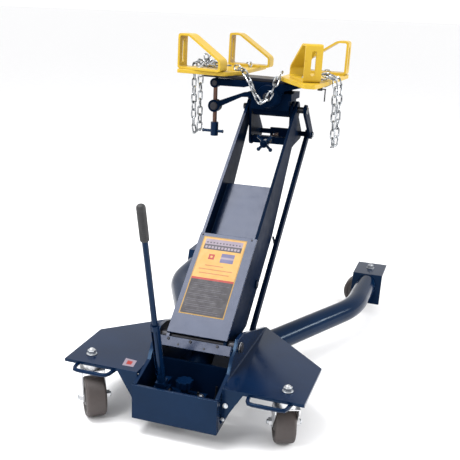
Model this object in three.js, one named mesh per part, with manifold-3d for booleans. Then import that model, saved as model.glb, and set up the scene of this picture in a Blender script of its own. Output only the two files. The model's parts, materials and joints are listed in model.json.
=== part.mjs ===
import * as THREE from 'three';
import { mergeVertices } from 'three/addons/utils/BufferGeometryUtils.js';
import Module from 'manifold-3d';

// A low-profile transmission jack in millimetres: +Z up, +Y to the rear, +X to the right.
// Everything is laid out from the middle of the front plate, and centred on the floor at the end.

const wasm = await Module();
wasm.setup();

// ---- driving dimensions ----

const GAP = 0.3;

// chassis box
const BOX_HALF = 108;
const SIDE_THICK = 9.5;
const SIDE_IN = BOX_HALF - SIDE_THICK;
const BOX_FLOOR = 42;
const FRONT_TOP = 131;
const FRONT_THICK = 8;
const STRIP_LOW = [89, 157.5];
const STRIP_HIGH = [111, 189];
const SIDE_TOP = 221;
const SIDE_REAR = 409;
const TIE_FROM = 240;
const TIE_TO = 358;
const TIE_LOW = 61;

// wings
const WING_HALF = 304.5;
const WING_FRONT = 30;
const WING_OUTER_REAR = 219;
const WING_TOP = 149;
const WING_THICK = 8;

// rear legs
const TUBE_R = 32;
const TUBE_WALL = 4;
const TUBE_Z = 103;
const BEND_X = 297;
const BEND_Y = 765;
const SPREAD = THREE.MathUtils.degToRad(26.5);
const REAR_X = 303;
const REAR_Y = 996;
const REAR_HALF = 49.5;
const REAR_DEPTH = 124;
const REAR_TOP = 137;
const REAR_THICK = 8;
const REAR_DROP = 93;
const REAR_SLOPE = THREE.MathUtils.degToRad(20);

// casters
const WHEEL_R = 50.8;
const WHEEL_W = 50;
const TRAIL = 33;
const STEM_R = 6.4;
const AXLE_R = 6.4;
const FORK_THICK = 3;
const FRONT_STEM = [254, 76];
const REAR_STEM = [303, 1062];

// lift arm
const ARM_PIVOT = [160, 196];
const ARM_LENGTH = 792;
const ARM_ANGLE = THREE.MathUtils.degToRad(40.1);
const ARM_HALF = 79;
const ARM_PLATE = 8;
const ARM_FRONT = 20;
const ARM_BACK = -105;
const ARM_TAPER_FROM = 400;
const PIVOT_R = 12.5;
const HEAD_PIN_R = 9.5;
const LUG_S = 226;
const LUG_N = -82;
const LUG_R = 9;

// parallel link
const LINK_OFFSET = [95, -86];
const LINK_IN = 85.3;
const LINK_OUT = 97.3;
const LINK_PIN_R = 8;

// hydraulic lift cylinder
const RAM_BASE = [144, 104];
const RAM_R = 15;
const CYLINDER_R = 30;
const CYLINDER_END = 196;

// head, measured from the head pin
const EAR_IN = 60;
const EAR_OUT = 68;
const SCREW_Z = -97;
const LATERAL_Z = 42;
const LATERAL_PIN_R = 13;
const LATERAL_TILT = THREE.MathUtils.degToRad(1.3);
const SIDE_ARM_X = -173;
const SIDE_ARM_Y = -40;
const TRUNNION_R = 12;
const LATERAL_SCREW_R = 6.4;
const SCREW_NECK_R = 4.5;
const KNUCKLE_PIN_R = 8;

// saddle, measured from the lateral pivot
const ROCKER_TOP = 37.7;
const BAR_THICK = 10;
const KNUCKLE_DROP = 14.5;
const KNUCKLE_R = 14.3;
const PLATE_LOW = ROCKER_TOP + GAP + BAR_THICK + GAP;
const PLATE_THICK = 11.7;
const PLATE_TOP = PLATE_LOW + PLATE_THICK;
const BRACKET_H = 103;
const BRACKET_L = 141;
const BRACKET_W = 50;
const BRACKET_T = 6.4;
const BRACKET_BOLT = 64;

// where the rocker's eye stands once the saddle leans by its tilt, from the head pin
const KNUCKLE_UP = ROCKER_TOP - KNUCKLE_DROP;
const KNUCKLE_X = SIDE_ARM_X * Math.cos(LATERAL_TILT) + KNUCKLE_UP * Math.sin(LATERAL_TILT);
const KNUCKLE_Z =
  LATERAL_Z - SIDE_ARM_X * Math.sin(LATERAL_TILT) + KNUCKLE_UP * Math.cos(LATERAL_TILT);

// pump handle
const HANDLE_PIVOT = [-52, 56, 100];
const HANDLE_LEAN = THREE.MathUtils.degToRad(14.3);
const HANDLE_LENGTH = 512;
const GRIP_LENGTH = 88;
const ROD_R = 7;
const PUMP_TOP = 79;
const PLUNGER_Y = 90;
const KNOB = [-6, 84];
const KNOB_R = 21.5;
const KNOB_LOW = 104;

// chain: outer width of the links
const CHAIN_W = 19;

// ---- materials ----

function paint(color, roughness, metalness) {
  return new THREE.MeshStandardMaterial({ color, roughness, metalness });
}

const NAVY = paint(0x1c2f57, 0.32, 0.1);
const YELLOW = paint(0xd9a92b, 0.42, 0.05);
const ZINC = paint(0xb9bcc0, 0.38, 0.9);
const BLACK_STEEL = paint(0x26262a, 0.45, 0.7);
const CHROME = paint(0xd0d2d6, 0.15, 1.0);
const TREAD = paint(0x57504d, 0.65, 0.0);
const RUBBER = paint(0x19191a, 0.7, 0.0);
const BROWN_STEEL = paint(0x4b3027, 0.5, 0.6);

// ---- geometry helpers ----

function solid(geometry) {
  const bare = geometry.clone();
  bare.deleteAttribute('normal');
  bare.deleteAttribute('uv');
  const merged = mergeVertices(bare, 1e-4);
  return new wasm.Manifold(new wasm.Mesh({
    numProp: 3,
    vertProperties: new Float32Array(merged.attributes.position.array),
    triVerts: new Uint32Array(merged.index.array),
  }));
}

function geometryOf(manifold) {
  const mesh = manifold.getMesh();
  const geometry = new THREE.BufferGeometry();
  geometry.setAttribute('position', new THREE.BufferAttribute(mesh.vertProperties, 3));
  geometry.setIndex(new THREE.BufferAttribute(mesh.triVerts, 1));
  geometry.computeVertexNormals();
  return geometry;
}

function join(...pieces) {
  return geometryOf(pieces.map(solid).reduce((a, b) => a.add(b)));
}

function cut(base, ...tools) {
  return geometryOf(tools.map(solid).reduce((a, b) => a.subtract(b), solid(base)));
}

function common(a, b) {
  return geometryOf(solid(a).intersect(solid(b)));
}

function shapeOf(points) {
  return new THREE.Shape(points.map(([a, b]) => new THREE.Vector2(a, b)));
}

function slab(points, depth) {
  return new THREE.ExtrudeGeometry(shapeOf(points), { depth, bevelEnabled: false });
}

// An outline in (y, z), as thick as x0 to x1.
function acrossX(points, x0, x1) {
  const turn = new THREE.Matrix4().set(0, 0, 1, x0, 1, 0, 0, 0, 0, 1, 0, 0, 0, 0, 0, 1);
  return slab(points, x1 - x0).applyMatrix4(turn);
}

// An outline in (x, z), as thick as y0 to y1.
function acrossY(points, y0, y1) {
  return slab(points, y1 - y0).rotateX(Math.PI / 2).translate(0, y1, 0);
}

// An outline in (x, y), as thick as z0 to z1.
function acrossZ(points, z0, z1) {
  return slab(points, z1 - z0).translate(0, 0, z0);
}

function block(x0, x1, y0, y1, z0, z1) {
  const box = new THREE.BoxGeometry(x1 - x0, y1 - y0, z1 - z0);
  return box.translate((x0 + x1) / 2, (y0 + y1) / 2, (z0 + z1) / 2);
}

function rodX(x0, x1, y, z, r, sides = 18) {
  const rod = new THREE.CylinderGeometry(r, r, x1 - x0, sides);
  return rod.rotateZ(Math.PI / 2).translate((x0 + x1) / 2, y, z);
}

function rodY(x, y0, y1, z, r, sides = 18, rFar = r) {
  const rod = new THREE.CylinderGeometry(rFar, r, y1 - y0, sides);
  return rod.translate(x, (y0 + y1) / 2, z);
}

function rodZ(x, y, z0, z1, r, sides = 18) {
  const rod = new THREE.CylinderGeometry(r, r, z1 - z0, sides);
  return rod.rotateX(Math.PI / 2).translate(x, y, (z0 + z1) / 2);
}

// The points of an arc about (a, b), from one angle to another, in degrees.
function arc(a, b, r, from, to, steps) {
  return Array.from({ length: steps + 1 }, (_, i) => {
    const t = THREE.MathUtils.degToRad(from + ((to - from) * i) / steps);
    return [a + r * Math.cos(t), b + r * Math.sin(t)];
  });
}

// A polygon with each corner rounded to a radius.
function rounded(points, radius, steps = 3) {
  const out = [];
  points.forEach((p, i) => {
    const here = new THREE.Vector2(...p);
    const before = new THREE.Vector2(...points.at(i - 1)).sub(here);
    const after = new THREE.Vector2(...points[(i + 1) % points.length]).sub(here);
    const r = Math.min(radius, before.length() * 0.45, after.length() * 0.45);
    const a = here.clone().add(before.normalize().multiplyScalar(r));
    const b = here.clone().add(after.normalize().multiplyScalar(r));
    const bend = new THREE.QuadraticBezierCurve(a, here, b);
    bend.getPoints(steps).forEach((q) => out.push([q.x, q.y]));
  });
  return out;
}

// A convex polygon moved inwards by a distance (points run anticlockwise).
function inset(points, distance) {
  const lines = points.map((p, i) => {
    const q = points[(i + 1) % points.length];
    const along = new THREE.Vector2(q[0] - p[0], q[1] - p[1]).normalize();
    return { x: p[0] - along.y * distance, y: p[1] + along.x * distance, along };
  });
  return lines.map((line, i) => {
    const prior = lines.at(i - 1);
    const d = prior.along.x * line.along.y - prior.along.y * line.along.x;
    const t = ((line.x - prior.x) * line.along.y - (line.y - prior.y) * line.along.x) / d;
    return [prior.x + prior.along.x * t, prior.y + prior.along.y * t];
  });
}

function circle(r, sides) {
  return arc(0, 0, r, 0, 360 - 360 / sides, sides - 1);
}

// A round bar or tube along a curve.
function along(path, r, sides, steps, bore = 0) {
  const section = shapeOf(circle(r, sides));
  if (bore) section.holes.push(new THREE.Path(shapeOf(circle(bore, sides)).getPoints()));
  return new THREE.ExtrudeGeometry(section, { steps, extrudePath: path, bevelEnabled: false });
}

// A path of straight runs with a quadratic bend at each inner point.
function bentPath(points, radius) {
  const path = new THREE.CurvePath();
  let from = points[0];
  points.slice(1, -1).forEach((corner, i) => {
    const a = corner.clone().add(from.clone().sub(corner).setLength(radius));
    const b = corner.clone().add(points[i + 2].clone().sub(corner).setLength(radius));
    path.add(new THREE.LineCurve3(from, a));
    path.add(new THREE.QuadraticBezierCurve3(a, corner, b));
    from = b;
  });
  path.add(new THREE.LineCurve3(from, points.at(-1)));
  return path;
}

function mirrorX(geometry) {
  const flipped = geometry.clone().applyMatrix4(new THREE.Matrix4().makeScale(-1, 1, 1));
  const index = mergeVertices(flipped).index;
  const out = mergeVertices(flipped);
  const array = index.array.slice();
  for (let i = 0; i < array.length; i += 3) [array[i], array[i + 1]] = [array[i + 1], array[i]];
  out.setIndex(new THREE.BufferAttribute(array, 1));
  out.deleteAttribute('normal');
  return out;
}

function mesh(parent, name, geometry, material) {
  const piece = new THREE.Mesh(geometry, material);
  piece.name = name;
  parent.add(piece);
  return piece;
}

function groupAt(parent, x, y, z) {
  const group = new THREE.Group();
  group.position.set(x, y, z);
  parent.add(group);
  return group;
}

const SIDES = [['left', -1], ['right', 1]];

function onSide(geometry, sign) {
  return sign < 0 ? mirrorX(geometry) : geometry;
}

// ---- chassis ----

function sidePlate() {
  const outline = [
    [FRONT_THICK + GAP, BOX_FLOOR],
    [SIDE_REAR, 70],
    [SIDE_REAR, WING_TOP],
    [190, SIDE_TOP],
    [150, SIDE_TOP],
    [135, 206],
    STRIP_HIGH,
    STRIP_LOW,
    [FRONT_THICK + GAP, FRONT_TOP],
  ];
  const plate = acrossX(outline, SIDE_IN, BOX_HALF);
  const pivot = rodX(SIDE_IN - 5, BOX_HALF + 5, ...ARM_PIVOT, PIVOT_R + GAP);
  const pin = rodX(SIDE_IN - 5, BOX_HALF + 5, ...RAM_BASE, LUG_R + GAP);
  return cut(plate, pivot, pin);
}

// The left side plate also carries the tie that closes the box below the cylinder.
function boxTie() {
  return block(-SIDE_IN - 0.5, SIDE_IN - GAP, TIE_FROM, TIE_TO, TIE_LOW, TIE_LOW + 8);
}

// The right side plate also carries the stud that the parallel link turns on.
function linkStud() {
  const y = ARM_PIVOT[0] + LINK_OFFSET[0];
  const z = ARM_PIVOT[1] + LINK_OFFSET[1];
  return rodX(LINK_IN - 3, SIDE_IN + 1, y, z, LINK_PIN_R);
}

// The pump stands on a tray with an upstand at its back.
function pumpTray() {
  const back = 118;
  const outline = [
    [FRONT_THICK + GAP, BOX_FLOOR],
    [back + 8, BOX_FLOOR],
    [back + 8, 154],
    [back, 154],
    [back, BOX_FLOOR + 8],
    [FRONT_THICK + GAP, BOX_FLOOR + 8],
  ];
  return acrossX(outline, -SIDE_IN + GAP, SIDE_IN - GAP);
}

// A flat bar between the side plates, in line with their sloping front edges.
function crossPlate() {
  const slope = new THREE.Vector2(STRIP_HIGH[0] - STRIP_LOW[0], STRIP_HIGH[1] - STRIP_LOW[1]);
  slope.normalize();
  const low = new THREE.Vector2(113.1, 190.1);
  const high = low.clone().addScaledVector(slope, 25);
  const back = new THREE.Vector2(slope.y, -slope.x).multiplyScalar(4);
  const corners = [low, high, high.clone().add(back), low.clone().add(back)];
  return acrossX(corners.map((p) => [p.x, p.y]).reverse(), -SIDE_IN + GAP, SIDE_IN - GAP);
}

function wing() {
  const inner = BOX_HALF + GAP;
  const outline = [
    [inner, WING_FRONT],
    [WING_HALF, WING_FRONT],
    [WING_HALF, WING_OUTER_REAR],
    [inner, SIDE_REAR],
  ];
  const plate = acrossZ(outline, WING_TOP - WING_THICK, WING_TOP);
  const hole = rodZ(...FRONT_STEM, WING_TOP - 20, WING_TOP + 5, STEM_R + 2 * GAP, 16);
  const gusset = acrossY(
    [[inner, 56], [inner + 55, WING_TOP - 2], [inner, WING_TOP - 2]],
    WING_FRONT,
    WING_FRONT + 7,
  );
  return join(cut(plate, hole), gusset, wingLoop());
}

// A bent round bar welded under the wing's front edge, to lift and pull the jack by.
function wingLoop() {
  const z = WING_TOP - WING_THICK - 3;
  const [a, b] = [171, 273];
  const front = 4;
  const back = WING_FRONT + 18;
  const points = [[a, back], [a + 6, front], [b - 6, front], [b, back]];
  const path = bentPath(points.map(([x, y]) => new THREE.Vector3(x, y, z)), 12);
  return along(path, 5.2, 8, 16);
}

function legTube() {
  const start = BOX_HALF - 30;
  const startY = BEND_Y - (BEND_X - start) / Math.tan(SPREAD);
  const points = [
    new THREE.Vector3(start, startY, TUBE_Z),
    new THREE.Vector3(BEND_X, BEND_Y, TUBE_Z),
    new THREE.Vector3(REAR_X, REAR_Y + 20, TUBE_Z),
  ];
  const path = bentPath(points, 70);
  const tube = along(path, TUBE_R, 16, 11, TUBE_R - TUBE_WALL);
  const inBox = block(-100, BOX_HALF + GAP, 0, REAR_Y, 0, 200);
  const lean = Math.tan(REAR_SLOPE);
  const behind = [
    [REAR_Y - GAP, REAR_TOP],
    [REAR_Y - GAP - lean * REAR_TOP, 0],
    [REAR_Y + 200, 0],
    [REAR_Y + 200, REAR_TOP],
  ];
  return cut(tube, inBox, acrossX(behind, 0, 500));
}

// A bent plate: a flat top for the caster and a sloping face that the tube is welded to.
function legBracket() {
  const lean = Math.tan(REAR_SLOPE);
  const t = REAR_THICK;
  const low = REAR_TOP - REAR_DROP;
  const outline = [
    [REAR_Y, REAR_TOP],
    [REAR_Y - lean * REAR_DROP, low],
    [REAR_Y - lean * REAR_DROP + t, low],
    [REAR_Y + t - lean * t, REAR_TOP - t],
    [REAR_Y + REAR_DEPTH, REAR_TOP - t],
    [REAR_Y + REAR_DEPTH, REAR_TOP],
  ];
  const plate = acrossX(outline, REAR_X - REAR_HALF, REAR_X + REAR_HALF);
  const hole = rodZ(...REAR_STEM, REAR_TOP - 20, REAR_TOP + 5, STEM_R + 2 * GAP, 16);
  return cut(plate, hole);
}

function buildChassis(root) {
  mesh(root, 'front_plate', block(-BOX_HALF, BOX_HALF, 0, FRONT_THICK, BOX_FLOOR, FRONT_TOP), NAVY);
  mesh(root, 'side_plate_left', join(mirrorX(sidePlate()), boxTie()), NAVY);
  mesh(root, 'side_plate_right', join(sidePlate(), linkStud()), NAVY);
  mesh(root, 'pump_tray', pumpTray(), NAVY);
  mesh(root, 'cross_plate', crossPlate(), NAVY);
  SIDES.forEach(([side, sign]) => {
    mesh(root, `wing_${side}`, onSide(wing(), sign), NAVY);
    mesh(root, `leg_tube_${side}`, onSide(legTube(), sign), NAVY);
    mesh(root, `leg_bracket_${side}`, onSide(legBracket(), sign), NAVY);
  });
  const end = BOX_HALF + 7;
  mesh(root, 'pivot_shaft', rodX(-end, end, ...ARM_PIVOT, PIVOT_R), BLACK_STEEL);
  mesh(root, 'cylinder_pin', rodX(-BOX_HALF, BOX_HALF, ...RAM_BASE, LUG_R), BLACK_STEEL);
}

// ---- casters ----

// Wheel and fork stand at the swivel axis, trailing towards local -Y.
function casterWheel() {
  const half = WHEEL_W / 2;
  const bore = AXLE_R + 0.4;
  const profile = [
    [bore, -half],
    [20, -half],
    [24, -half + 5],
    [36, -half + 5],
    [40, -half],
    ...arc(WHEEL_R - 7, -half + 7, 7, -60, 0, 2),
    ...arc(WHEEL_R - 7, half - 7, 7, 0, 60, 2),
    [40, half],
    [36, half - 5],
    [24, half - 5],
    [20, half],
    [bore, half],
    [bore, -half],
  ];
  const lathe = new THREE.LatheGeometry(profile.map((p) => new THREE.Vector2(...p)), 22);
  return lathe.rotateZ(Math.PI / 2).translate(0, -TRAIL, WHEEL_R);
}

function casterFork(mount, plateThick) {
  const inner = WHEEL_W / 2 + 1.5;
  const outer = inner + FORK_THICK;
  const crown = WHEEL_R * 2 + 9;
  const arch = [
    [-outer, 20],
    [-inner, 20],
    [-inner, crown],
    [inner, crown],
    [inner, 20],
    [outer, 20],
    [outer, crown + FORK_THICK],
    [-outer, crown + FORK_THICK],
  ];
  const side = [
    ...arc(-TRAIL, WHEEL_R, 14, 190, 350, 6),
    [22, crown - 10],
    [22, crown + 10],
    [-26, crown + 10],
    [-26, crown - 10],
  ];
  const legs = common(acrossY(arch, -80, 60), acrossX(side, -60, 60));
  const race = rodZ(0, 0, crown, mount - GAP, 22);
  const stem = rodZ(0, 0, mount - 5, mount + plateThick + 14, STEM_R, 12);
  const axle = rodX(-outer - 9, outer + 9, -TRAIL, WHEEL_R, AXLE_R, 12);
  const heads = [-1, 1].map((s) => {
    const far = s * (outer + 8);
    const near = s * (outer - 1);
    return rodX(Math.min(near, far), Math.max(near, far), -TRAIL, WHEEL_R, 10.5, 6);
  });
  return join(legs, race, stem, axle, ...heads);
}

function stemNut(top) {
  const washer = rodZ(0, 0, top + GAP, top + 3, 13, 16);
  const nut = rodZ(0, 0, top + 2, top + 12, 10.8, 6);
  return cut(join(washer, nut), rodZ(0, 0, top - 5, top + 20, STEM_R + GAP, 12));
}

const CASTERS = [
  { name: 'front_left', at: [-FRONT_STEM[0], FRONT_STEM[1]], heading: 37, top: WING_TOP, t: WING_THICK },
  { name: 'front_right', at: FRONT_STEM, heading: 201, top: WING_TOP, t: WING_THICK },
  { name: 'rear_left', at: [-REAR_STEM[0], REAR_STEM[1]], heading: 35, top: REAR_TOP, t: REAR_THICK },
  { name: 'rear_right', at: REAR_STEM, heading: -90, top: REAR_TOP, t: REAR_THICK },
];

function buildCasters(root) {
  CASTERS.forEach(({ name, at, heading, top, t }) => {
    const swivel = groupAt(root, at[0], at[1], 0);
    swivel.rotation.z = THREE.MathUtils.degToRad(heading);
    mesh(swivel, `caster_fork_${name}`, casterFork(top - t, t), ZINC);
    mesh(swivel, `caster_wheel_${name}`, casterWheel(), TREAD);
    mesh(groupAt(root, at[0], at[1], 0), `stem_nut_${name}`, stemNut(top), ZINC);
  });
}

// ---- lift arm: local y runs up the arm from its pivot, local z away from its front ----

function armSide() {
  const outline = [
    ...arc(0, 0, 30, 135, 235, 6),
    [110, ARM_BACK],
    [ARM_TAPER_FROM, ARM_BACK],
    ...arc(ARM_LENGTH, 0, 26, -80, 50, 7),
    [ARM_LENGTH - 10, ARM_FRONT],
    [0, ARM_FRONT],
  ];
  const plate = acrossX(outline, ARM_HALF - ARM_PLATE, ARM_HALF);
  const x0 = ARM_HALF - 20;
  const x1 = ARM_HALF + 20;
  const pivot = rodX(x0, x1, 0, 0, PIVOT_R + GAP);
  const pin = rodX(x0, x1, ARM_LENGTH, 0, HEAD_PIN_R + GAP);
  const lug = rodX(x0, x1, LUG_S, LUG_N, LUG_R + GAP);
  return cut(plate, pivot, pin, lug);
}

function buildArm(root) {
  const arm = groupAt(root, 0, ...ARM_PIVOT);
  arm.rotation.x = ARM_ANGLE;
  SIDES.forEach(([side, sign]) => {
    mesh(arm, `arm_side_${side}`, onSide(armSide(), sign), NAVY);
  });
  const between = ARM_HALF - ARM_PLATE - GAP;
  const coverLow = ARM_FRONT + GAP;
  mesh(arm, 'arm_cover', block(-80, 80, -1, 303, coverLow, coverLow + 4), NAVY);
  mesh(arm, 'arm_web', block(-between, between, 250, 514, -33, -27), NAVY);
  const lugEnd = ARM_HALF + 5;
  mesh(arm, 'arm_lug_shaft', rodX(-lugEnd, lugEnd, LUG_S, LUG_N, LUG_R), BLACK_STEEL);
  mesh(arm, 'head_shaft', rodX(-92, 110, ARM_LENGTH, 0, HEAD_PIN_R), BLACK_STEEL);
  return arm;
}

function buildLink(root) {
  const link = groupAt(root, 0, ARM_PIVOT[0] + LINK_OFFSET[0], ARM_PIVOT[1] + LINK_OFFSET[1]);
  link.rotation.x = ARM_ANGLE;
  const bar = join(
    block(LINK_IN, LINK_OUT, 0, ARM_LENGTH, -10, 10),
    rodX(LINK_IN, LINK_OUT, 0, 0, 15),
    rodX(LINK_IN, LINK_OUT, ARM_LENGTH, 0, 15),
  );
  const x0 = LINK_IN - 5;
  const x1 = LINK_OUT + 5;
  const eye = LINK_PIN_R + 0.5;
  const rod = cut(bar, rodX(x0, x1, 0, 0, eye), rodX(x0, x1, ARM_LENGTH, 0, eye));
  mesh(link, 'link_rod', rod, NAVY);
}

// The cylinder's local y runs from its base pin towards the arm's lug.
function buildCylinder(root) {
  const c = Math.cos(ARM_ANGLE);
  const s = Math.sin(ARM_ANGLE);
  const lugY = ARM_PIVOT[0] + LUG_S * c - LUG_N * s;
  const lugZ = ARM_PIVOT[1] + LUG_S * s + LUG_N * c;
  const reach = Math.hypot(lugY - RAM_BASE[0], lugZ - RAM_BASE[1]);
  const cylinder = groupAt(root, 0, ...RAM_BASE);
  cylinder.rotation.x = Math.atan2(lugZ - RAM_BASE[1], lugY - RAM_BASE[0]);
  const body = cut(
    join(rodY(0, 19, CYLINDER_END, 0, CYLINDER_R), rodX(-20, 20, 0, 0, 13), block(-20, 20, 0, 25, -11, 11)),
    rodX(-40, 40, 0, 0, LUG_R + 0.5),
    rodY(0, 40, CYLINDER_END + 10, 0, RAM_R + 0.5),
  );
  mesh(cylinder, 'lift_cylinder', body, NAVY);
  const ram = cut(
    join(rodY(0, 112, reach - 12, 0, RAM_R), rodX(-24, 24, reach, 0, 22)),
    rodX(-40, 40, reach, 0, LUG_R + 5.5),
  );
  mesh(cylinder, 'lift_ram', ram, CHROME);
}

// ---- head, built about the head pin ----

function levelEar() {
  const outline = [
    ...arc(0, 0, 25, 60, 180, 6),
    ...arc(0, SCREW_Z, 17, 190, 300, 5),
    ...arc(...LINK_OFFSET, 17, -70, 50, 6),
  ];
  const plate = acrossX(outline, EAR_IN, EAR_OUT);
  const pin = rodX(EAR_IN - 5, EAR_OUT + 5, 0, 0, HEAD_PIN_R + GAP);
  const link = rodX(EAR_IN - 5, EAR_OUT + 5, ...LINK_OFFSET, LINK_PIN_R + GAP);
  return cut(plate, pin, link);
}

// The bar from ear to ear that the fore-and-aft screw turns in.
function screwBar() {
  const bar = block(-EAR_IN - 0.5, EAR_IN - GAP, -11, 11, SCREW_Z - 11, SCREW_Z + 11);
  return cut(bar, rodY(0, -30, 30, SCREW_Z, 6.5));
}

function linkLever() {
  const x0 = LINK_OUT + 0.7;
  const x1 = x0 + 8;
  const outline = [
    ...arc(0, 0, 17, 42, 222, 8),
    ...arc(...LINK_OFFSET, 14, -138, 42, 8),
  ];
  const lever = cut(acrossX(outline, x0, x1), rodX(x0 - 5, x1 + 5, 0, 0, HEAD_PIN_R + GAP));
  return join(lever, rodX(-EAR_OUT - 6, x1 + 4, ...LINK_OFFSET, LINK_PIN_R));
}

function tiltHead() {
  const hub = rodX(-57, 57, 0, 0, 24);
  const body = block(-57, 57, -45, 60, 0, 30.5);
  const top = block(-67, 67, -45, 60, 30, 50);
  const tongue = join(
    block(42, 57, 44, 56, SCREW_Z - 15, 5),
    block(-17, 57, 44, 56, SCREW_Z - 15, SCREW_Z + 31),
  );
  const pin = rodY(0, -81, 82, LATERAL_Z, LATERAL_PIN_R);
  const [x, y] = [KNUCKLE_X, SIDE_ARM_Y];
  const outline = [[-56, 50], [-82, 46], [x, 11], [x, -10], [-86, 32.5], [-56, 34]];
  const arm = acrossY(outline, y - 10, y + 10);
  const eye = rodY(x, y - 13, y + 13, 0, 19);
  const head = join(hub, body, top, tongue, pin, arm, eye);
  return cut(
    head,
    rodX(-80, 80, 0, 0, HEAD_PIN_R + GAP),
    rodY(x, y - 30, y + 30, 0, TRUNNION_R + GAP),
    block(x - 9.5, x + 9.5, y - 9.5, y + 9.5, -40, 40),
    block(-10, 10, 30, 70, SCREW_Z - 40, SCREW_Z + 19.5),
  );
}

// Star knob, threaded rod and the two collars that hold it in its bar.
function tiltScrew() {
  const rod = rodY(0, -80, 84, SCREW_Z, 6, 12);
  const hub = rodY(0, -86, -62, SCREW_Z, 12);
  const arms = [45, 135, 225, 315].flatMap((angle) => {
    const t = THREE.MathUtils.degToRad(angle);
    const bar = new THREE.CylinderGeometry(4.5, 4.5, 24, 6).rotateZ(-Math.PI / 2);
    const ball = new THREE.SphereGeometry(6.5, 8, 5).translate(13, 0, 0);
    return [bar, ball].map((piece) => {
      const turned = piece.translate(13, 0, 0).rotateY(-t);
      return turned.translate(0, -74, SCREW_Z);
    });
  });
  const collars = [rodY(0, -17, -12, SCREW_Z, 10), rodY(0, 12, 17, SCREW_Z, 10)];
  return join(rod, hub, ...arms, ...collars);
}

// A spool nut that travels along the screw with the head's slotted tongue between its flanges.
function tiltNut() {
  const spool = join(
    rodY(0, 35, 40.5, SCREW_Z, 12),
    rodY(0, 40, 60, SCREW_Z, 9.4),
    rodY(0, 59.5, 65, SCREW_Z, 12),
  );
  return cut(spool, rodY(0, 20, 80, SCREW_Z, 6.5));
}

// The screw hangs from a cross pin in the rocker's eye and runs through one in the head's eye.
function buildLateralScrew(head) {
  const [x, y, z] = [KNUCKLE_X, SIDE_ARM_Y, KNUCKLE_Z];
  const bar = rodY(x, y - 15, y + 15, 0, TRUNNION_R);
  const hole = rodZ(x, y, -30, 30, LATERAL_SCREW_R + 0.9);
  mesh(head, 'screw_trunnion', cut(bar, hole), BLACK_STEEL);
  const pin = rodY(x, y - 14, y + 14, z, KNUCKLE_PIN_R);
  const socket = rodZ(x, y, z - 20, z + 3.5, SCREW_NECK_R + 0.4);
  mesh(head, 'knuckle_pin', cut(pin, socket), BLACK_STEEL);
  const screw = join(
    rodZ(x, y, -60, z - 12, LATERAL_SCREW_R, 16),
    rodZ(x, y, z - 13, z + 3, SCREW_NECK_R, 12),
    rodZ(x, y, -92, -50, 12, 20),
    rodX(x - 36, x + 26, y, -78, 4.6, 14),
  );
  mesh(head, 'lateral_screw', screw, BROWN_STEEL);
}

function buildHead(root) {
  const c = Math.cos(ARM_ANGLE);
  const s = Math.sin(ARM_ANGLE);
  const head = groupAt(root, 0, ARM_PIVOT[0] + ARM_LENGTH * c, ARM_PIVOT[1] + ARM_LENGTH * s);
  mesh(head, 'level_ear_left', join(mirrorX(levelEar()), screwBar()), NAVY);
  mesh(head, 'level_ear_right', levelEar(), NAVY);
  mesh(head, 'link_lever', linkLever(), NAVY);
  mesh(head, 'tilt_head', tiltHead(), NAVY);
  mesh(head, 'tilt_screw', tiltScrew(), NAVY);
  mesh(head, 'tilt_nut', tiltNut(), BROWN_STEEL);
  buildLateralScrew(head);
  const saddle = groupAt(head, 0, 0, LATERAL_Z);
  saddle.rotation.y = LATERAL_TILT;
  buildSaddle(saddle);
  return head;
}

// ---- saddle, built about the lateral pivot ----

function rocker() {
  const ring = 33;
  const cheek = [...arc(0, 0, ring, 180, 360, 10), [57, ROCKER_TOP - 8], [-57, ROCKER_TOP - 8]];
  const front = join(acrossY(cheek, -60, -46), rodY(0, -75, -46, 0, 32, 28, 38));
  const rear = acrossY(cheek, 61, 75);
  const top = block(-62, 62, -60, 75, ROCKER_TOP - 11, ROCKER_TOP);
  const flange = [
    [30, ROCKER_TOP - 24],
    [62, ROCKER_TOP - 16],
    [112, ROCKER_TOP - 2],
    [112, ROCKER_TOP],
    [30, ROCKER_TOP],
  ];
  const right = join(
    acrossY(flange, -60, -46),
    acrossY(flange, 61, 75),
    block(50, 112, -60, 75, ROCKER_TOP - 5, ROCKER_TOP),
  );
  const [x, y] = [SIDE_ARM_X, SIDE_ARM_Y];
  const outline = [
    [-80, ROCKER_TOP - 20],
    [x, ROCKER_TOP - 22],
    [x, ROCKER_TOP - 1],
    [-50, ROCKER_TOP],
    [-50, ROCKER_TOP - 11],
  ];
  const arm = acrossY(outline, y - 9, y + 9);
  const knuckle = rodY(x, y - 12, y + 12, KNUCKLE_UP, KNUCKLE_R);
  const whole = join(front, rear, top, right, arm, knuckle);
  return cut(
    whole,
    rodY(0, -120, 120, 0, LATERAL_PIN_R + GAP),
    rodY(x, y - 20, y + 20, KNUCKLE_UP, KNUCKLE_PIN_R + GAP),
    block(x - 9, x + 9, y - 9, y + 9, -20, KNUCKLE_UP),
  );
}

// A closed loop of flat bar: tall slotted leg, short end, sloping top.
function cornerBracket() {
  const outer = [[0, 0], [BRACKET_L, 0], [BRACKET_L, 33], [36, BRACKET_H], [0, BRACKET_H]];
  const loop = cut(
    acrossY(rounded(outer, 9), -BRACKET_W / 2, BRACKET_W / 2),
    acrossY(rounded(inset(outer, BRACKET_T), 5), -BRACKET_W, BRACKET_W),
  );
  const slotLow = 24;
  const slotHigh = BRACKET_H - 24;
  const slot = join(
    block(-20, 20, -6.5, 6.5, slotLow, slotHigh),
    rodX(-20, 20, 0, slotLow, 6.5, 16),
    rodX(-20, 20, 0, slotHigh, 6.5, 16),
  );
  return cut(loop, slot).translate(-BRACKET_BOLT, 0, 0);
}

const PLATES = {
  left: [[-278, -101], [-130, -86], [-103, 4], [-103, 274], [-278, 274]],
  right: [[34, -60], [139, -223], [171, -218], [178, -150], [189, 204], [34, 204]],
};

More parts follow.
